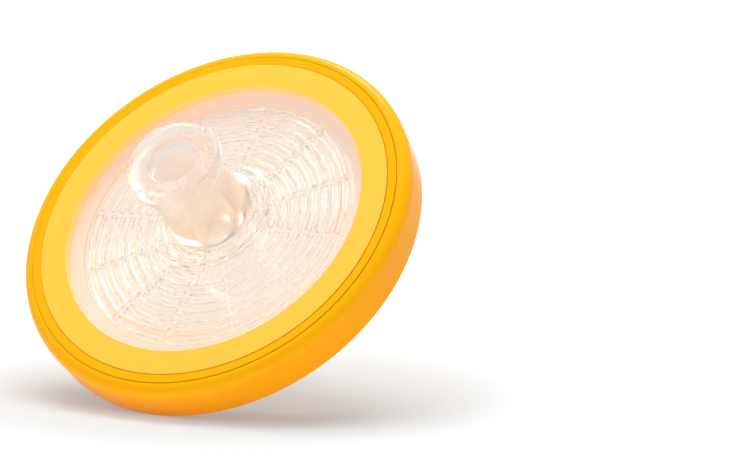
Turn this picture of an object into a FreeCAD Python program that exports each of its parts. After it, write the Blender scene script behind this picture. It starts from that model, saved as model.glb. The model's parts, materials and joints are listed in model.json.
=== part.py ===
"""Disc syringe filter of the 33 mm class, lying on a bench.

Four pieces: two clear moulded housings, a white membrane clamped between them, and a coloured ring
moulded over the rim that holds the housings together.

Every piece is drawn about the filter's own axis, with +Z towards the inlet and z = 0 on the membrane's
outlet face. The finished filter is then laid down the way it rests: on the shoulder of its ring and on
the end of its outlet nozzle. Lengths are in millimetres.
"""
import FreeCAD, Part
import math
import os

# Membrane
MEMBRANE_RADIUS = 14.0
MEMBRANE_THICKNESS = 0.18
MEMBRANE_CLEARANCE = 0.1
CLAMPED_WIDTH = 2.42

# Flow ribs, on both sides of the membrane
RIB_PITCH = 0.875
RIB_MARGIN = 0.63
RIB_ROOT_WIDTH = 0.68
RIB_TIP_WIDTH = 0.28
RIB_EDGE_ROUND = 0.12
RIB_INNER_MARGIN = 0.4
SPOKE_COUNT = 12
SPOKE_WIDTH = 0.42
SPOKE_CLEARANCE = 0.06

# Inlet housing
INLET_RIB_HEIGHT = 0.35
INLET_RIB_CLEARANCE = 0.12
INLET_PLATE = 1.6
INLET_RIM = 0.7
INLET_BOSS_WIDTH = 1.75
INLET_BOSS_HEIGHT = 0.5
INLET_BOSS_ROUND = 0.3
INLET_BOSS_FOOT = 0.15
BARREL_FOOT_FILLET = 1.15

# Outlet housing
OUTLET_FLOOR_DEPTH = 0.75
OUTLET_FLOOR_FALL = 0.9
OUTLET_WELL_RADIUS = 2.4
OUTLET_PLATE = 2.23
OUTLET_RIM = 1.4
OUTLET_CONE_RISE = 1.2
OUTLET_CONE_FILLET = 1.5

# Both housings: the thin rims that the ring grips, welded outside the membrane
WELD_WIDTH = 0.46
RIM_EDGE_ROUND = 0.1

# Luer taper of both fittings: change of diameter for each millimetre of length
LUER_TAPER = 0.06

# Female luer lock on the inlet housing
SOCKET_MOUTH_RADIUS = 2.15
SOCKET_DEPTH = 7.6
SOCKET_LEDGE = 0.622
SOCKET_EDGE_ROUND = 0.12
SOCKET_FLOOR_ROUND = 0.3
BARREL_WALL = 1.14
BARREL_LENGTH = 7.87

# Lock thread on the barrel: two lugs with a right-hand lead
LUG_COUNT = 2
LUG_HEIGHT = 0.56
LUG_CREST_LENGTH = 1.45
LUG_FLANK = 0.45
LUG_EDGE_ROUND = 0.12
LUG_START_ANGLE = 60.0
THREAD_LEAD = 5.0
GROOVE_CREST_WIDTH = 0.75
GROOVE_ROOT_WIDTH = 0.45
MOUTH_ANGLE = 79.0

# Male luer slip on the outlet housing
NOZZLE_TIP_RADIUS = 1.98
NOZZLE_LENGTH = 8.17
NOZZLE_WALL = 0.93
NOZZLE_TIP_ROUND = 0.3
NOZZLE_BASE_FILLET = 0.2
HUB_SHOULDER = 0.75
HUB_LENGTH = 4.89
HUB_ROUND = 0.45
HUB_FILLET = 0.3

# Ring moulded over the rim
WINDOW_MARGIN = 1.18
RING_WALL = 2.09
RING_STEP = 0.17
RING_DRAFT = 0.06
RING_LIP_WIDTH = 1.0
RING_LIP_ROUND = 0.82
RING_BAND_WIDTH = 0.75
RING_FACE_STEP = 0.06
RING_GROOVE_WIDTH = 0.08
RING_GROOVE_DEPTH = 0.06
RING_EDGE_ROUND = 0.12
PARTING_DEPTH = 1.33
CHAMFER_WIDTH = 2.23
CHAMFER_HEIGHT = 1.53
SHOULDER_ROUND = 0.25

# Radii, from the membrane outwards
CHAMBER_RADIUS = MEMBRANE_RADIUS - CLAMPED_WIDTH
RIB_OUTER_RADIUS = CHAMBER_RADIUS - RIB_MARGIN
WINDOW_RADIUS = CHAMBER_RADIUS + WINDOW_MARGIN
RECESS_RADIUS = MEMBRANE_RADIUS + MEMBRANE_CLEARANCE
HOUSING_RADIUS = RECESS_RADIUS + WELD_WIDTH
RING_RADIUS = HOUSING_RADIUS + RING_WALL
FACE_BAND_RADIUS = RING_RADIUS - RING_LIP_WIDTH
FACE_FLAT_RADIUS = FACE_BAND_RADIUS - RING_BAND_WIDTH
OUTLET_FLAT_RADIUS = RING_RADIUS - CHAMFER_WIDTH

# Radii of the two fittings
SOCKET_FLOOR_RADIUS = SOCKET_MOUTH_RADIUS - LUER_TAPER / 2 * SOCKET_DEPTH
FLOW_HOLE_RADIUS = SOCKET_FLOOR_RADIUS - SOCKET_LEDGE
BARREL_RADIUS = SOCKET_MOUTH_RADIUS + BARREL_WALL
LUG_RADIUS = BARREL_RADIUS + LUG_HEIGHT
INLET_BOSS_RADIUS = BARREL_RADIUS + INLET_BOSS_WIDTH
NOZZLE_BASE_RADIUS = NOZZLE_TIP_RADIUS + LUER_TAPER / 2 * NOZZLE_LENGTH
NOZZLE_BORE_RADIUS = NOZZLE_TIP_RADIUS - NOZZLE_WALL
HUB_RADIUS = NOZZLE_BASE_RADIUS + HUB_SHOULDER

# Levels along the axis
INLET_RIB_TIP = MEMBRANE_THICKNESS + INLET_RIB_CLEARANCE
INLET_FLOOR = INLET_RIB_TIP + INLET_RIB_HEIGHT
INLET_FACE = INLET_FLOOR + INLET_PLATE
INLET_END = INLET_FACE + BARREL_LENGTH
OUTLET_FACE = -OUTLET_FLOOR_DEPTH - OUTLET_PLATE
HUB_FOOT = OUTLET_FACE - OUTLET_CONE_RISE
HUB_END = HUB_FOOT - HUB_LENGTH
NOZZLE_END = HUB_END - NOZZLE_LENGTH
SHOULDER = OUTLET_FACE + CHAMFER_HEIGHT
PARTING = INLET_FACE - PARTING_DEPTH

FULL_TURN = 360.0
OVERCUT = 0.4
AXIS = FreeCAD.Vector(0, 0, 1)


def vector(radius, height):
    """A point of a section, in the plane that is turned about the axis."""
    return FreeCAD.Vector(radius, 0, height)


def corner_rounding(before, corner, after):
    """Start, middle, end and centre of the arc that rounds a section's corner.

    Each corner is (radius, height) or (radius, height, rounding).
    """
    here = vector(*corner[:2])
    to_last = (vector(*before[:2]) - here).normalize()
    to_next = (vector(*after[:2]) - here).normalize()
    inwards = (to_last + to_next).normalize()
    half_angle = to_last.getAngle(to_next) / 2
    setback = corner[2] / math.tan(half_angle)
    to_centre = corner[2] / math.sin(half_angle)
    middle = here + inwards * (to_centre - corner[2])
    return here + to_last * setback, middle, here + to_next * setback, here + inwards * to_centre


def section_wire(corners):
    """A closed section: straight edges, with an arc at each corner that has a rounding."""
    count = len(corners)
    ends = []
    edges = []
    for index, corner in enumerate(corners):
        if len(corner) == 2:
            ends.append((vector(*corner), vector(*corner)))
            edges.append(None)
            continue
        arc = corner_rounding(corners[index - 1], corner, corners[(index + 1) % count])
        ends.append((arc[0], arc[2]))
        edges.append(Part.Arc(arc[0], arc[1], arc[2]).toShape())
    outline = []
    for index in range(count):
        if edges[index] is not None:
            outline.append(edges[index])
        outline.append(Part.makeLine(ends[index][1], ends[(index + 1) % count][0]))
    return Part.Wire(outline)


def turned(corners):
    """The solid made by turning a section about the filter's axis."""
    return Part.Face(section_wire(corners)).revolve(FreeCAD.Vector(), AXIS, FULL_TURN)


def copies(shape, count):
    """The shape and its copies, evenly spaced about the axis."""
    result = []
    for index in range(count):
        copy = shape.copy()
        copy.rotate(FreeCAD.Vector(), AXIS, index * FULL_TURN / count)
        result.append(copy)
    return result


def rib_radii(clear_radius):
    """Middle radii of the flow ribs, innermost first: as many as fit outside the clear radius."""
    spare = RIB_OUTER_RADIUS - RIB_ROOT_WIDTH / 2 - clear_radius
    count = math.floor(spare / RIB_PITCH) + 1
    return [RIB_OUTER_RADIUS - RIB_PITCH * step for step in reversed(range(count))]


def rib_corners(clear_radius, tip, floor_at):
    """Section corners of the ribs, on a floor whose height at each radius floor_at gives."""
    root = RIB_ROOT_WIDTH / 2
    crest = RIB_TIP_WIDTH / 2
    corners = []
    for radius in rib_radii(clear_radius):
        corners.append((radius - root, floor_at(radius - root), RIB_EDGE_ROUND))
        corners.append((radius - crest, tip, RIB_EDGE_ROUND))
        corners.append((radius + crest, tip, RIB_EDGE_ROUND))
        corners.append((radius + root, floor_at(radius + root), RIB_EDGE_ROUND))
    return corners


def outlet_floor(radius):
    """Height of the outlet chamber's floor, which falls evenly towards the outlet well."""
    share = (CHAMBER_RADIUS - radius) / (CHAMBER_RADIUS - OUTLET_WELL_RADIUS)
    return -OUTLET_FLOOR_DEPTH - OUTLET_FLOOR_FALL * share


def inlet_floor(radius):
    """Height of the inlet chamber's roof, which is flat."""
    return INLET_FLOOR


def spoke_cutters(inner_radius, tip, floor_at, lift):
    """Bars that notch the ribs along the radial flow channels, lift being how far they stay off the floor."""
    beyond = RIB_ROOT_WIDTH * (1 if lift > 0 else -1)
    half = SPOKE_WIDTH / 2
    outline = [
        FreeCAD.Vector(inner_radius, -half, floor_at(inner_radius) + lift),
        FreeCAD.Vector(CHAMBER_RADIUS, -half, floor_at(CHAMBER_RADIUS) + lift),
        FreeCAD.Vector(CHAMBER_RADIUS, -half, tip + beyond),
        FreeCAD.Vector(inner_radius, -half, tip + beyond),
    ]
    side = Part.Face(Part.makePolygon(outline + outline[:1]))
    return copies(side.extrude(FreeCAD.Vector(0, SPOKE_WIDTH, 0)), SPOKE_COUNT)


def groove_cutter(sweep):
    """A right-handed helical bar that cuts a thread groove, sweep being the angle it runs through.

    It starts at angle 0, with its flank that faces the ring at height 0 on the lugs' crest.
    """
    inner = BARREL_RADIUS - OVERCUT
    outer = LUG_RADIUS + OVERCUT
    flank = (GROOVE_CREST_WIDTH - GROOVE_ROOT_WIDTH) / 2 / LUG_HEIGHT
    inner_slope = flank * (LUG_RADIUS - inner)
    outer_slope = flank * (outer - LUG_RADIUS)
    outline = [
        vector(inner, inner_slope),
        vector(outer, -outer_slope),
        vector(outer, GROOVE_CREST_WIDTH + outer_slope),
        vector(inner, GROOVE_CREST_WIDTH - inner_slope),
    ]
    section = Part.makePolygon(outline + outline[:1])
    helix = Part.makeHelix(THREAD_LEAD, THREAD_LEAD * sweep / FULL_TURN, LUG_RADIUS)
    return Part.Wire(helix.Edges).makePipeShell([section], True, True)


def thread_lugs():
    """The two lock lugs: a collar at the end of the barrel, parted by two helical grooves.

    Each groove opens on the barrel's end, where a second, shorter cut widens its mouth, and runs out
    through the collar's sloping rear face.
    """
    inner = BARREL_RADIUS - OVERCUT / 2
    rear_slope = LUG_FLANK / LUG_HEIGHT
    collar = turned([
        (inner, INLET_END),
        (LUG_RADIUS, INLET_END, LUG_EDGE_ROUND),
        (LUG_RADIUS, INLET_END - LUG_CREST_LENGTH, LUG_EDGE_ROUND),
        (inner, INLET_END - LUG_CREST_LENGTH - rear_slope * (LUG_RADIUS - inner)),
    ])
    mouth_angle = LUG_START_ANGLE + MOUTH_ANGLE
    collar_length = LUG_CREST_LENGTH + LUG_FLANK
    run_out = FULL_TURN * (collar_length + GROOVE_CREST_WIDTH + OVERCUT) / THREAD_LEAD
    lead_in = FULL_TURN * OVERCUT / THREAD_LEAD
    for sweep, widening in ((run_out, 0), (MOUTH_ANGLE, GROOVE_ROOT_WIDTH)):
        groove = groove_cutter(sweep + lead_in)
        groove.rotate(FreeCAD.Vector(), AXIS, mouth_angle - sweep)
        groove.translate(AXIS * (INLET_END - THREAD_LEAD * sweep / FULL_TURN + widening))
        for cutter in copies(groove, LUG_COUNT):
            collar = collar.cut(cutter)
    return collar


def inlet_housing():
    """Clear inlet half: ribbed plate, low boss and the female luer lock."""
    socket_floor = INLET_END - SOCKET_DEPTH
    boss_top = INLET_FACE + INLET_BOSS_HEIGHT
    rim_top = MEMBRANE_THICKNESS + INLET_RIM
    inner_radius = FLOW_HOLE_RADIUS + RIB_INNER_MARGIN
    body = turned(
        [(FLOW_HOLE_RADIUS, INLET_FLOOR)]
        + rib_corners(inner_radius, INLET_RIB_TIP, inlet_floor)
        + [
            (CHAMBER_RADIUS, INLET_FLOOR),
            (CHAMBER_RADIUS, MEMBRANE_THICKNESS),
            (HOUSING_RADIUS, MEMBRANE_THICKNESS),
            (HOUSING_RADIUS, rim_top, RIM_EDGE_ROUND),
            (WINDOW_RADIUS, rim_top),
            (WINDOW_RADIUS, INLET_FACE),
            (INLET_BOSS_RADIUS, INLET_FACE, INLET_BOSS_FOOT),
            (INLET_BOSS_RADIUS - INLET_BOSS_ROUND / 2, boss_top, INLET_BOSS_ROUND),
            (BARREL_RADIUS, boss_top, BARREL_FOOT_FILLET),
            (BARREL_RADIUS, INLET_END),
            (SOCKET_MOUTH_RADIUS, INLET_END, SOCKET_EDGE_ROUND),
            (SOCKET_FLOOR_RADIUS, socket_floor, SOCKET_FLOOR_ROUND),
            (FLOW_HOLE_RADIUS, socket_floor),
        ]
    )
    spokes = spoke_cutters(inner_radius, INLET_RIB_TIP, inlet_floor, -SPOKE_CLEARANCE)
    return body.cut(spokes).fuse(thread_lugs()).Solids[0]


def nozzle_corners():
    """Section corners of the male luer slip nozzle, from its base to its bore."""
    return [
        (NOZZLE_BASE_RADIUS, HUB_END, NOZZLE_BASE_FILLET),
        (NOZZLE_TIP_RADIUS, NOZZLE_END, NOZZLE_TIP_ROUND),
        (NOZZLE_BORE_RADIUS, NOZZLE_END),
    ]


def outlet_housing():
    """Clear outlet half: support ribs on a sloping floor, hub and male luer slip nozzle."""
    well_floor = outlet_floor(OUTLET_WELL_RADIUS) - (OUTLET_WELL_RADIUS - NOZZLE_BORE_RADIUS)
    rim_bottom = MEMBRANE_THICKNESS - OUTLET_RIM
    body = turned(
        [
            (NOZZLE_BORE_RADIUS, well_floor),
            (OUTLET_WELL_RADIUS, outlet_floor(OUTLET_WELL_RADIUS)),
        ]
        + rib_corners(OUTLET_WELL_RADIUS, 0, outlet_floor)
        + [
            (CHAMBER_RADIUS, outlet_floor(CHAMBER_RADIUS)),
            (CHAMBER_RADIUS, 0),
            (RECESS_RADIUS, 0),
            (RECESS_RADIUS, MEMBRANE_THICKNESS),
            (HOUSING_RADIUS, MEMBRANE_THICKNESS),
            (HOUSING_RADIUS, rim_bottom, RIM_EDGE_ROUND),
            (WINDOW_RADIUS, rim_bottom),
            (WINDOW_RADIUS, OUTLET_FACE),
            (CHAMBER_RADIUS, OUTLET_FACE, OUTLET_CONE_FILLET),
            (HUB_RADIUS, HUB_FOOT, HUB_FILLET),
            (HUB_RADIUS, HUB_END, HUB_ROUND),
        ]
        + nozzle_corners()
    )
    spokes = spoke_cutters(OUTLET_WELL_RADIUS, 0, outlet_floor, SPOKE_CLEARANCE)
    return body.cut(spokes).Solids[0]


def membrane():
    """White filter disc, lying on the outlet ribs and clamped at its edge."""
    return Part.makeCylinder(MEMBRANE_RADIUS, MEMBRANE_THICKNESS)


def shoulder_corners():
    """Section corners of the ring's lower side and its chamfered outlet edge."""
    lower_radius = RING_RADIUS - RING_STEP
    return [
        (lower_radius, PARTING),
        (lower_radius - RING_DRAFT, SHOULDER, SHOULDER_ROUND),
        (OUTLET_FLAT_RADIUS, OUTLET_FACE, RING_EDGE_ROUND),
    ]


def sealing_ring():
    """Coloured ring moulded round both rims, with a stepped inlet face and a chamfered outlet edge.

    Each step of the inlet face ends in a fine groove.
    """
    band = INLET_FACE - RING_FACE_STEP
    lip = band - RING_FACE_STEP
    return turned(
        [
            (WINDOW_RADIUS, INLET_FACE),
            (FACE_FLAT_RADIUS, INLET_FACE),
            (FACE_FLAT_RADIUS, band - RING_GROOVE_DEPTH),
            (FACE_FLAT_RADIUS + RING_GROOVE_WIDTH, band),
            (FACE_BAND_RADIUS, band),
            (FACE_BAND_RADIUS, lip - RING_GROOVE_DEPTH),
            (FACE_BAND_RADIUS + RING_GROOVE_WIDTH, lip),
            (RING_RADIUS - RING_DRAFT, lip, RING_LIP_ROUND),
            (RING_RADIUS, PARTING, RING_EDGE_ROUND),
        ]
        + shoulder_corners()
        + [
            (WINDOW_RADIUS, OUTLET_FACE),
            (WINDOW_RADIUS, MEMBRANE_THICKNESS - OUTLET_RIM),
            (HOUSING_RADIUS, MEMBRANE_THICKNESS - OUTLET_RIM, RIM_EDGE_ROUND),
            (HOUSING_RADIUS, MEMBRANE_THICKNESS + INLET_RIM, RIM_EDGE_ROUND),
            (WINDOW_RADIUS, MEMBRANE_THICKNESS + INLET_RIM),
        ]
    )


def resting_tilt():
    """How far the axis leans from upright, in degrees, when both roundings below touch the bench.

    The filter rests on the rounding of its ring's shoulder and on that of its nozzle's end. A rounding
    with its centre at (r, h) reaches down to h cos(tilt) - r sin(tilt) - rounding, the same for both.
    """
    shoulder = corner_rounding(*shoulder_corners())[3]
    nozzle = corner_rounding(*nozzle_corners())[3]
    across = shoulder - nozzle
    steepness = math.atan2(across.z, across.x)
    return math.degrees(steepness - math.asin((SHOULDER_ROUND - NOZZLE_TIP_ROUND) / across.Length))


def laid_down(shapes):
    """The shapes lying on the bench, z = 0, with the middle of their box over the origin."""
    for shape in shapes:
        shape.rotate(FreeCAD.Vector(), FreeCAD.Vector(1, 0, 0), resting_tilt())
    box = Part.makeCompound(shapes).optimalBoundingBox(False)
    for shape in shapes:
        shape.translate(FreeCAD.Vector(-box.Center.x, -box.Center.y, -box.ZMin))
    return shapes


PIECES = {
    "inlet_housing": inlet_housing,
    "outlet_housing": outlet_housing,
    "membrane": membrane,
    "sealing_ring": sealing_ring,
}

os.makedirs("parts", exist_ok=True)
for name, solid in zip(PIECES, laid_down([make() for make in PIECES.values()])):
    solid.exportStep("parts/" + name + ".step")
    print(name, "volume", round(solid.Volume, 1), "valid", solid.isValid(), "solids", len(solid.Solids))
print("tilt", round(resting_tilt(), 2))
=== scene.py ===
"""Looks of the disc syringe filter: clear housings, yellow ring and white membrane on a white bench.

Pieces made here are drawn about the filter's own axis, as the CAD pieces are: radius from the axis, and
height above the membrane's outlet face. Lengths are in millimetres until a mesh is written.
"""
import json
import math

import bmesh
import bpy
from mathutils import Matrix, Vector


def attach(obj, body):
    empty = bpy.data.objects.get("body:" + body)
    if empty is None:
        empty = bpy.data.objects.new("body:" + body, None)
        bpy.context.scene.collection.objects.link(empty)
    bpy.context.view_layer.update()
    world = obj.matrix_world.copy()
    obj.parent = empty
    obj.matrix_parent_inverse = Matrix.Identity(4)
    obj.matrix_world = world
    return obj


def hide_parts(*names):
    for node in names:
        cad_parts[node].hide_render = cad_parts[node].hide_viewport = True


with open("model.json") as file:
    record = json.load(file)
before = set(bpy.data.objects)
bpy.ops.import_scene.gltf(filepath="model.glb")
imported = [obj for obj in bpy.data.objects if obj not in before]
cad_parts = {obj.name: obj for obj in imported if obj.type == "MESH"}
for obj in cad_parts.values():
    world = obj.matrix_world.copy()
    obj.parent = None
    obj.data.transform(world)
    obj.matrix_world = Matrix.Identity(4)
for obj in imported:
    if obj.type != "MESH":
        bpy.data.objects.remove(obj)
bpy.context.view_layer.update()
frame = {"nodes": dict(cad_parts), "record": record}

MM = 0.001
WHITE = (1, 1, 1, 1)
SHARP_ANGLE = math.radians(35)

# The filter's own axis, from the two luer fittings
INLET_END = 10.12
MOUNTS = {mount["name"]: Vector(mount["pos_m"]) for mount in frame["record"]["mounts"]}
AXIS = (MOUNTS["inlet_luer"] - MOUNTS["outlet_luer"]).normalized()
LEVEL = Vector((1, 0, 0))
CENTRE = MOUNTS["inlet_luer"] - AXIS * INLET_END * MM

# Camera
PHOTO_WIDTH = 738
SENSOR_WIDTH = 36.0
VIEW_AZIMUTH = math.radians(31.41)
VIEW_ELEVATION = math.radians(9.03)
VIEW_DISTANCE = 520.0
PIXELS_PER_MM = 12.656
AIM_RIGHT = 12.363
AIM_UP = -0.642

# Ring
WINDOW_RADIUS = 12.76
HOUSING_RADIUS = 14.56
RING_RADIUS = 16.65
RING_STEP = 0.17
RING_DRAFT = 0.06
FACE_FLAT_RADIUS = 14.9
FACE_BAND_RADIUS = 15.65
GROOVE_WIDTH = 0.08
GROOVE_DEPTH = 0.06
FINE_ROUND = 0.02
LIP_ROUND = 0.82
PARTING_ROUND = 0.12
SHOULDER_ROUND = 0.25
OUTLET_ROUND = 0.12
POCKET_ROUND = 0.1
OUTLET_FLAT_RADIUS = 14.42
INLET_FACE = 2.25
FACE_BAND = 2.19
FACE_LIP = 2.13
OUTLET_FACE = -2.98
SHOULDER = -1.45
PARTING = 0.92
RIM_TOP = 0.88
RIM_BOTTOM = -1.22
BITE = 0.01

# Finishes of the ring, in the order of its materials; the last is painted shade in the grooves
POLISHED, SATIN, BONDED, SHADED_GROOVE = range(4)

# Light: a soft lamp above, a small one behind that shows in gloss, and a white room that gloss sees
# bright only at its back wall and its left side
LAMP_PLACE = (-0.05, 0.09, 0.5)
LAMP_SIZE = 0.4
LAMP_POWER = 3.2
GLEAM_PLACE = (-0.13, 0.22, 0.47)
GLEAM_SIZE = 0.2
GLEAM_POWER = 1.2
ROOM_LIGHT = 0.64
VIEWER_SIDE = (0.521, -0.853, 0.0)
BRIGHT_SIDE = (-0.8, 0.3, 0.5)
DARK_SIDE = 0.15
DIM_SIDE = 0.5

# Where the room's light changes: how far a ray points up, to the viewer's side, or to the bright side
BACK_WALL_TOP = (0.55, 0.75)
CEILING_EDGE = (0.4, 0.6)
VIEWER_EDGE = (0.0, 0.3)
LEFT_EDGE = (0.68, 0.82)

# Floor: pale to matt faces, and where it is seen a white backdrop with a pale shadow, whose own light
# grows from its lift near the filter to white far from it
FLOOR_WHITE = (0.8, 0.8, 0.8, 1)
FLOOR_SEEN = (0.46, 0.43, 0.41, 1)
FLOOR_GLOW = (0.78, 1.0, 1.1, 1)
FLOOR_LIFT = 0.26
FLOOR_NEAR = 0.015
FLOOR_FAR = 0.05

# Clear plastic: polished on the plates, satin on the two fittings, and painted orange towards the socket's
# foot, in place of the yellow ring's light seen in it
HUB_FOOT = -4.18
SOCKET_SATIN = (INLET_FACE + 0.45, INLET_FACE + 1.2)
HUB_SATIN = (HUB_FOOT - 1.0, HUB_FOOT)
SOCKET_RING_LIGHT = (INLET_FACE + 2.0, INLET_END - 2.0)
CLEAR_IOR = 1.5
CLEAR_TINT = (0.955, 0.94, 0.925, 1)
FOOT_RING_LIGHT_TINT = (0.89, 0.79, 0.69, 1)
CLEARNESS = 0.86
CLEAR_SHADOW = (1.0, 0.995, 0.99, 1)
CLEAR_SPOT = 2.0
CLEAR_ROUGHNESS = (0.02, 0.06)
CLEAR_GRAIN = (1.6, 0.0015)
FITTING_ROUGHNESS = 0.13
DEPTH_TINT = (0.97, 0.75, 0.5, 1)
DEPTH_DENSITY = 50.0

# Ring plastic
RING_GLOSS = 0.07
RING_YELLOW = (0.94, 0.425, 0.003, 1)
# Painted shade: the polished ring turns this deeper, darker yellow down its side
SHADED_SIDE_YELLOW = (0.89, 0.35, 0.002, 1)
# Painted shade: the faces inside the two grooves take this darker yellow
GROOVE_SHADE_YELLOW = (0.62, 0.36, 0.01, 1)
# Painted sheen: the satin face is painted a paler yellow than the rest of the ring
SATIN_SHEEN_YELLOW = (1.0, 0.54, 0.06, 1)
# Painted light: the bonded inner faces of the ring glow in this yellow, in place of light that comes
# through the ring
PAINTED_GLOW_YELLOW = (1.0, 0.6, 0.08, 1)
RING_PAINTED_GLOW = 0.38
RING_SPOT = 1.5
SIDE_SHADE_FADE = (PARTING, INLET_FACE - 0.3)
POLISH_ROUGHNESS = (0.12, 0.22)
POLISH_GRAIN = (1.5, 0.004)
SATIN_ROUGHNESS = (0.4, 0.5)
SATIN_GRAIN = (0.15, 0.004)
RING_SHADOW = (0.6, 0.63, 0.66, 1)

# Membrane, a hair thinner on each side than its seat
MEMBRANE_RADIUS = 14.0
MEMBRANE_THICKNESS = 0.18
HAIR = 0.005
SHEET_WHITE = (0.82, 0.77, 0.725, 1)
SHEET_SPOT = 0.5
SHEET_ROUGHNESS = (0.7, 0.95)
SHEET_GRAIN = (0.12, 0.001)
SHEET_SHADOW = (0.6, 0.6, 0.6, 1)


def axial(radius, turn, height):
    """A place given about the filter's axis, in the row's frame and metres."""
    side = AXIS.cross(LEVEL)
    across = LEVEL * math.cos(turn) + side * math.sin(turn)
    return CENTRE + (across * radius + AXIS * height) * MM


def rounded(corners, steps=8):
    """A closed outline of (radius, height) points, with an arc at each corner that names a rounding."""
    outline = []
    for index, corner in enumerate(corners):
        here = Vector(corner[:2])
        if len(corner) == 2:
            outline.append(here)
            continue
        to_last = (Vector(corners[index - 1][:2]) - here).normalized()
        to_next = (Vector(corners[(index + 1) % len(corners)][:2]) - here).normalized()
        half_angle = to_last.angle(to_next) / 2
        centre = here + (to_last + to_next).normalized() * (corner[2] / math.sin(half_angle))
        start = here + to_last * (corner[2] / math.tan(half_angle)) - centre
        end = here + to_next * (corner[2] / math.tan(half_angle)) - centre
        sweep = math.atan2(start.x * end.y - start.y * end.x, start.dot(end))
        for step in range(steps + 1):
            outline.append(centre + Matrix.Rotation(sweep * step / steps, 2) @ start)
    return outline


def turned(name, outline, segments=360, finish=None):
    """A closed outline turned about the filter's axis, as a new object.

    finish says which material the faces take from the middle of each of the outline's edges.
    """
    mesh = bmesh.new()
    loops = []
    for segment in range(segments):
        turn = 2 * math.pi * segment / segments
        loops.append([mesh.verts.new(axial(point[0], turn, point[1])) for point in outline])
    for index, loop in enumerate(loops):
        following = loops[(index + 1) % segments]
        for place in range(len(outline)):
            after = (place + 1) % len(outline)
            face = mesh.faces.new((loop[place], following[place], following[after], loop[after]))
            if finish is not None:
                face.material_index = finish((outline[place] + outline[after]) / 2)
    bmesh.ops.recalc_face_normals(mesh, faces=mesh.faces)
    data = bpy.data.meshes.new(name)
    mesh.to_mesh(data)
    mesh.free()
    data.shade_smooth()
    data.set_sharp_from_angle(angle=SHARP_ANGLE)
    piece = bpy.data.objects.new(name, data)
    bpy.context.scene.collection.objects.link(piece)
    return piece


def new_material(name):
    """An empty node material with its output node."""
    material = bpy.data.materials.new(name)
    material.use_nodes = True
    material.node_tree.nodes.clear()
    output = material.node_tree.nodes.new("ShaderNodeOutputMaterial")
    return material, material.node_tree, output


def ray(tree, kind):
    """One for rays of a kind that Light Path names, else zero."""
    return tree.nodes.new("ShaderNodeLightPath").outputs[kind]


def joined(tree, operation, first, second):
    """Two numbers joined by a sum, a product or the like."""
    both = tree.nodes.new("ShaderNodeMath")
    both.operation = operation
    tree.links.new(first, both.inputs[0])
    tree.links.new(second, both.inputs[1])
    return both.outputs[0]


def choice(tree, switch, otherwise, chosen):
    """The chosen shader where the switch is one, else the other."""
    mix = tree.nodes.new("ShaderNodeMixShader")
    tree.links.new(switch, mix.inputs[0])
    tree.links.new(otherwise, mix.inputs[1])
    tree.links.new(chosen, mix.inputs[2])
    return mix.outputs[0]


def fade(tree, socket, start, end, before, after):
    """A number that changes smoothly from before to after, as the one at socket passes two marks."""
    share = tree.nodes.new("ShaderNodeMapRange")
    share.interpolation_type = "SMOOTHSTEP"
    share.inputs["From Min"].default_value = start
    share.inputs["From Max"].default_value = end
    share.inputs["To Min"].default_value = before
    share.inputs["To Max"].default_value = after
    tree.links.new(socket, share.inputs["Value"])
    return share.outputs["Result"]


def blended(tree, share, first, second):
    """A colour between two, nearer the second as the share grows to one."""
    mix = tree.nodes.new("ShaderNodeMix")
    mix.data_type = "RGBA"
    mix.inputs["A"].default_value = first
    mix.inputs["B"].default_value = second
    tree.links.new(share, mix.inputs["Factor"])
    return mix.outputs["Result"]


def facing(tree, direction):
    """How far a ray that leaves the scene points in a direction, from -1 to 1."""
    place = tree.nodes.new("ShaderNodeTexCoord")
    towards = tree.nodes.new("ShaderNodeVectorMath")
    towards.operation = "DOT_PRODUCT"
    towards.inputs[1].default_value = Vector(direction).normalized()
    tree.links.new(place.outputs["Generated"], towards.inputs[0])
    return towards.outputs["Value"]


def fine_bump(tree, shader, wave, height):
    """A gentle unevenness of the surface, with waves and height in millimetres."""
    place = tree.nodes.new("ShaderNodeTexCoord")
    noise = tree.nodes.new("ShaderNodeTexNoise")
    noise.inputs["Scale"].default_value = 1 / (wave * MM)
    noise.inputs["Detail"].default_value = 2.0
    bump = tree.nodes.new("ShaderNodeBump")
    bump.inputs["Strength"].default_value = 1.0
    bump.inputs["Distance"].default_value = height * MM
    tree.links.new(place.outputs["Object"], noise.inputs["Vector"])
    tree.links.new(noise.outputs["Fac"], bump.inputs["Height"])
    tree.links.new(bump.outputs["Normal"], shader.inputs["Normal"])


def drifting(tree, spot, least, most):
    """A number that drifts between two values, over spots of a size in millimetres."""
    place = tree.nodes.new("ShaderNodeTexCoord")
    noise = tree.nodes.new("ShaderNodeTexNoise")
    noise.inputs["Scale"].default_value = 1 / (spot * MM)
    noise.inputs["Detail"].default_value = 3.0
    spread = tree.nodes.new("ShaderNodeMapRange")
    spread.inputs["From Min"].default_value = 0.3
    spread.inputs["From Max"].default_value = 0.7
    spread.inputs["To Min"].default_value = least
    spread.inputs["To Max"].default_value = most
    tree.links.new(place.outputs["Object"], noise.inputs["Vector"])
    tree.links.new(noise.outputs["Fac"], spread.inputs["Value"])
    return spread.outputs["Result"]


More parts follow.
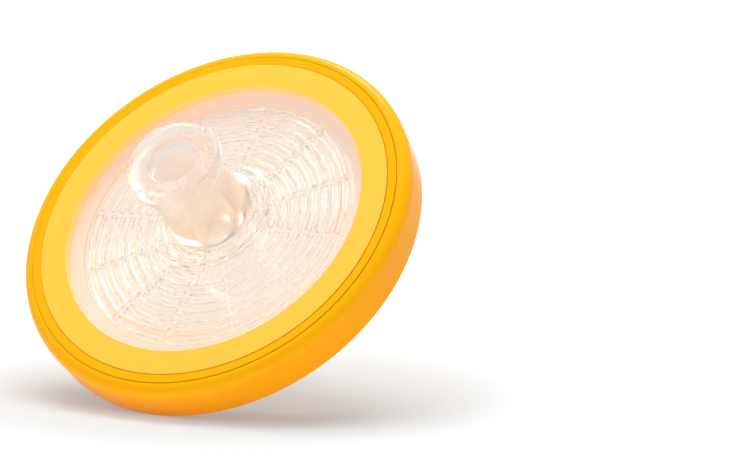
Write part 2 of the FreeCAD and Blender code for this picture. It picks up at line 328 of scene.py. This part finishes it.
def along_axis(tree, start, end, before, after):
    """A number that changes from before to after between two heights on the filter's own axis."""
    place = tree.nodes.new("ShaderNodeTexCoord")
    height = tree.nodes.new("ShaderNodeVectorMath")
    height.operation = "DOT_PRODUCT"
    height.inputs[1].default_value = AXIS
    change = tree.nodes.new("ShaderNodeMapRange")
    change.interpolation_type = "SMOOTHSTEP"
    change.inputs["From Min"].default_value = axial(0, 0, start).dot(AXIS)
    change.inputs["From Max"].default_value = axial(0, 0, end).dot(AXIS)
    change.inputs["To Min"].default_value = before
    change.inputs["To Max"].default_value = after
    tree.links.new(place.outputs["Object"], height.inputs[0])
    tree.links.new(height.outputs["Value"], change.inputs["Value"])
    return change.outputs["Result"]


def pale_shadow(tree, shader, share, kinds, output):
    """Wires a shader to the output so that rays of the given kinds pass through it, less a tint."""
    through = tree.nodes.new("ShaderNodeBsdfTransparent")
    through.inputs["Color"].default_value = share
    surface = shader.outputs[0]
    for kind in kinds:
        surface = choice(tree, ray(tree, kind), surface, through.outputs[0])
    tree.links.new(surface, output.inputs["Surface"])


def clear_plastic():
    """Clear moulded plastic, a little milky."""
    material, tree, output = new_material("clear_plastic")
    plastic = tree.nodes.new("ShaderNodeBsdfPrincipled")
    plastic.inputs["IOR"].default_value = CLEAR_IOR
    plastic.inputs["Transmission Weight"].default_value = CLEARNESS
    socket = along_axis(tree, *SOCKET_SATIN, 0.0, 1.0)
    hub = along_axis(tree, *HUB_SATIN, 1.0, 0.0)
    satin = fade(tree, joined(tree, "ADD", socket, hub), 0.0, 1.0, 0.0, FITTING_ROUGHNESS)
    roughness = joined(tree, "ADD", satin, drifting(tree, CLEAR_SPOT, *CLEAR_ROUGHNESS))
    tree.links.new(roughness, plastic.inputs["Roughness"])
    # Painted light: the socket's colour turns orange towards its foot, in place of the yellow ring's light
    foot = joined(tree, "MULTIPLY", socket, along_axis(tree, *SOCKET_RING_LIGHT, 1.0, 0.0))
    tree.links.new(blended(tree, foot, CLEAR_TINT, FOOT_RING_LIGHT_TINT), plastic.inputs["Base Color"])
    fine_bump(tree, plastic, *CLEAR_GRAIN)
    tint = tree.nodes.new("ShaderNodeVolumeAbsorption")
    tint.inputs["Color"].default_value = DEPTH_TINT
    tint.inputs["Density"].default_value = DEPTH_DENSITY
    pale_shadow(tree, plastic, CLEAR_SHADOW, ("Is Shadow Ray", "Is Diffuse Ray"), output)
    tree.links.new(tint.outputs[0], output.inputs["Volume"])
    return material


def ring_plastic(name, colour, roughness, grain, shaded_side_colour=None, glow=0.0):
    """Yellow moulded plastic, which may turn to a darker side colour down its side, a painted shade.
    roughness is a least and a most, grain is its size in mm and its height, and glow is painted light, in
    place of light that comes to a surface through the ring."""
    material, tree, output = new_material(name)
    plastic = tree.nodes.new("ShaderNodeBsdfPrincipled")
    plastic.inputs["Base Color"].default_value = colour
    if shaded_side_colour:
        # Painted shade: the colour darkens down the side, below the face
        side = along_axis(tree, *SIDE_SHADE_FADE, 1.0, 0.0)
        tree.links.new(blended(tree, side, colour, shaded_side_colour), plastic.inputs["Base Color"])
    plastic.inputs["Specular IOR Level"].default_value = RING_GLOSS
    plastic.inputs["Emission Color"].default_value = PAINTED_GLOW_YELLOW
    plastic.inputs["Emission Strength"].default_value = glow
    tree.links.new(drifting(tree, RING_SPOT, *roughness), plastic.inputs["Roughness"])
    fine_bump(tree, plastic, *grain)
    pale_shadow(tree, plastic, RING_SHADOW, ("Is Shadow Ray",), output)
    return material


def membrane_white():
    """Matt white filter sheet with a fine porous grain."""
    material, tree, output = new_material("membrane")
    sheet = tree.nodes.new("ShaderNodeBsdfPrincipled")
    sheet.inputs["Base Color"].default_value = SHEET_WHITE
    tree.links.new(drifting(tree, SHEET_SPOT, *SHEET_ROUGHNESS), sheet.inputs["Roughness"])
    fine_bump(tree, sheet, *SHEET_GRAIN)
    pale_shadow(tree, sheet, SHEET_SHADOW, ("Is Shadow Ray",), output)
    return material


def ring_finish(middle):
    """The finish of the faces along an edge of the ring's outline, from the middle of that edge."""
    if middle.x < FACE_FLAT_RADIUS and middle.y > INLET_FACE - BITE:
        return SATIN
    # Faces inside the two grooves get the painted groove shade
    for radius, level in ((FACE_FLAT_RADIUS, FACE_BAND), (FACE_BAND_RADIUS, FACE_LIP)):
        beside = radius - BITE < middle.x < radius + GROOVE_WIDTH
        if beside and level - GROOVE_DEPTH < middle.y < level - BITE:
            return SHADED_GROOVE
    inner_side = middle.x < HOUSING_RADIUS and OUTLET_FACE < middle.y < INLET_FACE
    return BONDED if inner_side else POLISHED


def make_ring():
    """The yellow ring. It bites a little into the clear rims where it is bonded to them."""
    lower = RING_RADIUS - RING_STEP
    corners = [
        (WINDOW_RADIUS - BITE, INLET_FACE),
        (FACE_FLAT_RADIUS, INLET_FACE, FINE_ROUND),
        (FACE_FLAT_RADIUS, FACE_BAND - GROOVE_DEPTH),
        (FACE_FLAT_RADIUS + GROOVE_WIDTH, FACE_BAND, FINE_ROUND),
        (FACE_BAND_RADIUS, FACE_BAND, FINE_ROUND),
        (FACE_BAND_RADIUS, FACE_LIP - GROOVE_DEPTH),
        (FACE_BAND_RADIUS + GROOVE_WIDTH, FACE_LIP, FINE_ROUND),
        (RING_RADIUS - RING_DRAFT, FACE_LIP, LIP_ROUND),
        (RING_RADIUS, PARTING, PARTING_ROUND),
        (lower, PARTING),
        (lower - RING_DRAFT, SHOULDER, SHOULDER_ROUND),
        (OUTLET_FLAT_RADIUS, OUTLET_FACE, OUTLET_ROUND),
        (WINDOW_RADIUS - BITE, OUTLET_FACE),
        (WINDOW_RADIUS - BITE, RIM_BOTTOM + BITE),
        (HOUSING_RADIUS - BITE, RIM_BOTTOM + BITE, POCKET_ROUND),
        (HOUSING_RADIUS - BITE, RIM_TOP - BITE, POCKET_ROUND),
        (WINDOW_RADIUS - BITE, RIM_TOP - BITE),
    ]
    return turned("yellow_ring", rounded(corners), finish=ring_finish)


def make_membrane():
    """The filter sheet, which nowhere shares a face with the plastic round it."""
    middle = 0.001
    top = MEMBRANE_THICKNESS - HAIR
    corners = [(middle, HAIR), (MEMBRANE_RADIUS, HAIR), (MEMBRANE_RADIUS, top), (middle, top)]
    return turned("filter_sheet", rounded(corners), segments=180)


def add_camera():
    """A long lens at the viewing angle of a filter that lies left of the picture's middle."""
    face = axial(0, 0, INLET_FACE)
    back = Vector((
        math.sin(VIEW_AZIMUTH) * math.cos(VIEW_ELEVATION),
        -math.cos(VIEW_AZIMUTH) * math.cos(VIEW_ELEVATION),
        math.sin(VIEW_ELEVATION),
    ))
    right = Vector((math.cos(VIEW_AZIMUTH), math.sin(VIEW_AZIMUTH), 0))
    up = back.cross(right)
    data = bpy.data.cameras.new("camera")
    data.sensor_width = SENSOR_WIDTH
    data.lens = PIXELS_PER_MM * VIEW_DISTANCE * SENSOR_WIDTH / PHOTO_WIDTH
    data.clip_start = 0.01
    data.clip_end = 10
    camera = bpy.data.objects.new("camera", data)
    camera.location = face + (right * AIM_RIGHT + up * AIM_UP + back * VIEW_DISTANCE) * MM
    camera.rotation_mode = "QUATERNION"
    camera.rotation_quaternion = back.to_track_quat("Z", "Y")
    bpy.context.scene.collection.objects.link(camera)
    bpy.context.scene.camera = camera


def off_polish(tree):
    """One for rays off a polished face, else zero. Rays that such a face refracts count as glossy too."""
    return joined(tree, "GREATER_THAN", ray(tree, "Is Glossy Ray"), ray(tree, "Is Transmission Ray"))


def set_strength(tree, light, strength):
    """Gives a light its strength: a plain number, or a socket it depends on."""
    if isinstance(strength, float):
        light.inputs["Strength"].default_value = strength
    else:
        tree.links.new(strength, light.inputs["Strength"])


def painted(tree, colour, glow_colour, lift):
    """A matt paint with some light of its own, of a plain strength or one that a socket gives."""
    paint = tree.nodes.new("ShaderNodeBsdfDiffuse")
    paint.inputs["Color"].default_value = colour
    glow = tree.nodes.new("ShaderNodeEmission")
    glow.inputs["Color"].default_value = glow_colour
    set_strength(tree, glow, lift)
    both = tree.nodes.new("ShaderNodeAddShader")
    tree.links.new(paint.outputs[0], both.inputs[0])
    tree.links.new(glow.outputs[0], both.inputs[1])
    return both.outputs[0]


def add_floor():
    """The white bench."""
    data = bpy.data.meshes.new("floor")
    reach = 1.5
    mesh = bmesh.new()
    corners = [mesh.verts.new((x * reach, y * reach, 0)) for x, y in ((-1, -1), (1, -1), (1, 1), (-1, 1))]
    mesh.faces.new(corners)
    mesh.to_mesh(data)
    mesh.free()
    floor = bpy.data.objects.new("floor", data)
    bpy.context.scene.collection.objects.link(floor)
    material, tree, output = new_material("floor")
    place = tree.nodes.new("ShaderNodeTexCoord")
    distance = tree.nodes.new("ShaderNodeVectorMath")
    distance.operation = "LENGTH"
    tree.links.new(place.outputs["Object"], distance.inputs[0])
    lift = fade(tree, distance.outputs["Value"], FLOOR_NEAR, FLOOR_FAR, FLOOR_LIFT, 1.0)
    backdrop = painted(tree, FLOOR_SEEN, FLOOR_GLOW, lift)
    seen = joined(tree, "MAXIMUM", ray(tree, "Is Camera Ray"), ray(tree, "Is Glossy Ray"))
    seen = joined(tree, "MAXIMUM", seen, ray(tree, "Is Transmission Ray"))
    surface = choice(tree, seen, painted(tree, FLOOR_WHITE, WHITE, FLOOR_LIFT), backdrop)
    tree.links.new(surface, output.inputs[0])
    data.materials.append(material)


def lit(tree, strength):
    """White light from the room."""
    white = tree.nodes.new("ShaderNodeBackground")
    set_strength(tree, white, strength)
    return white.outputs[0]


def add_lamp(name, place, size, power):
    """A square lamp that faces the filter."""
    lamp = bpy.data.lights.new(name, "AREA")
    lamp.shape = "SQUARE"
    lamp.size = size
    lamp.energy = power
    placed = bpy.data.objects.new(name, lamp)
    placed.location = place
    placed.rotation_mode = "QUATERNION"
    placed.rotation_quaternion = Vector(place).to_track_quat("Z", "Y")
    bpy.context.scene.collection.objects.link(placed)
    return placed


def add_light():
    """Two lamps in a white room, whose viewer's side polished faces mirror darker than it is."""
    scene = bpy.context.scene
    world = bpy.data.worlds.new("room")
    world.use_nodes = True
    scene.world = world
    tree = world.node_tree
    tree.nodes.clear()
    output = tree.nodes.new("ShaderNodeOutputWorld")
    place = tree.nodes.new("ShaderNodeTexCoord")
    parts = tree.nodes.new("ShaderNodeSeparateXYZ")
    tree.links.new(place.outputs["Generated"], parts.inputs[0])
    height = parts.outputs["Z"]
    viewer = facing(tree, VIEWER_SIDE)
    low = fade(tree, height, *BACK_WALL_TOP, 1, DARK_SIDE)
    back = joined(tree, "MULTIPLY", low, fade(tree, viewer, *VIEWER_EDGE, 1, DARK_SIDE))
    left = fade(tree, facing(tree, BRIGHT_SIDE), *LEFT_EDGE, DARK_SIDE, 1)
    above = fade(tree, height, *CEILING_EDGE, DIM_SIDE, 1)
    away = fade(tree, viewer, *VIEWER_EDGE, 1, DIM_SIDE)
    light = lit(tree, ROOM_LIGHT)
    light = choice(tree, off_polish(tree), light, lit(tree, joined(tree, "MAXIMUM", back, left)))
    through = lit(tree, joined(tree, "MAXIMUM", above, away))
    light = choice(tree, ray(tree, "Is Transmission Ray"), light, through)
    light = choice(tree, ray(tree, "Is Camera Ray"), light, lit(tree, 1.0))
    tree.links.new(light, output.inputs[0])
    add_lamp("softbox", LAMP_PLACE, LAMP_SIZE, LAMP_POWER).visible_glossy = False
    add_lamp("gleam", GLEAM_PLACE, GLEAM_SIZE, GLEAM_POWER).visible_diffuse = False
    scene.cycles.max_bounces = 32
    scene.cycles.glossy_bounces = 16
    scene.cycles.transmission_bounces = 32


def dress(node, material):
    """Gives a CAD node its material."""
    data = frame["nodes"][node].data
    data.materials.clear()
    data.materials.append(material)


add_camera()
clear = clear_plastic()
dress("inlet_housing", clear)
dress("outlet_housing", clear)

ring = make_ring()
for finish in (
    ring_plastic("ring_polished", RING_YELLOW, POLISH_ROUGHNESS, POLISH_GRAIN, shaded_side_colour=SHADED_SIDE_YELLOW),
    ring_plastic("ring_satin", SATIN_SHEEN_YELLOW, SATIN_ROUGHNESS, SATIN_GRAIN),
    ring_plastic("ring_bonded_glow", RING_YELLOW, SATIN_ROUGHNESS, SATIN_GRAIN, glow=RING_PAINTED_GLOW),
    ring_plastic("ring_groove_shade", GROOVE_SHADE_YELLOW, SATIN_ROUGHNESS, SATIN_GRAIN),
):
    ring.data.materials.append(finish)
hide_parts("sealing_ring")
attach(ring, "root")

sheet = make_membrane()
sheet.data.materials.append(membrane_white())
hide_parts("membrane")
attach(sheet, "root")

add_floor()
add_light()
bpy.context.scene.view_settings.view_transform = "Standard"
